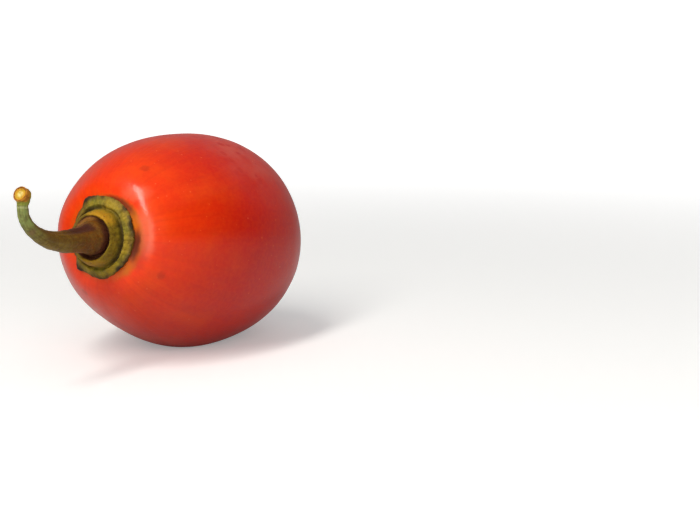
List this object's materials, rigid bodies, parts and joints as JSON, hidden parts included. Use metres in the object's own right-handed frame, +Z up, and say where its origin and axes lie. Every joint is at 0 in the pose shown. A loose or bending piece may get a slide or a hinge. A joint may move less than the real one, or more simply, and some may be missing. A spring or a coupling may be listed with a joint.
{
  "type": "tamarillo",
  "caption": "Whole picked tamarillo lying on its side: a smooth egg-shaped red-orange fruit with a lobed dry calyx and a bent woody stalk ending in a round scar.",
  "frame": {"origin": "middle of the small flat spot that the fruit rests on", "axes": "+Z up from the surface, X along the fruit's length with the stalk at -X and the blossom end at +X"},
  "size_m": [0.094, 0.05, 0.0501],
  "materials": {
    "skin": "glossy red-orange fruit skin with a soft waxy bloom, paler orange round the calyx",
    "calyx_skin": "dry olive-ochre sepal tissue with a dark groove and brown tips",
    "stalk_bark": "satin olive-brown bark, greener towards the end, with a cream-yellow scar"
  },
  "bodies": {
    "root": {"fruit": "skin", "calyx": "calyx_skin", "stalk": "stalk_bark"}
  },
  "joints": []
}
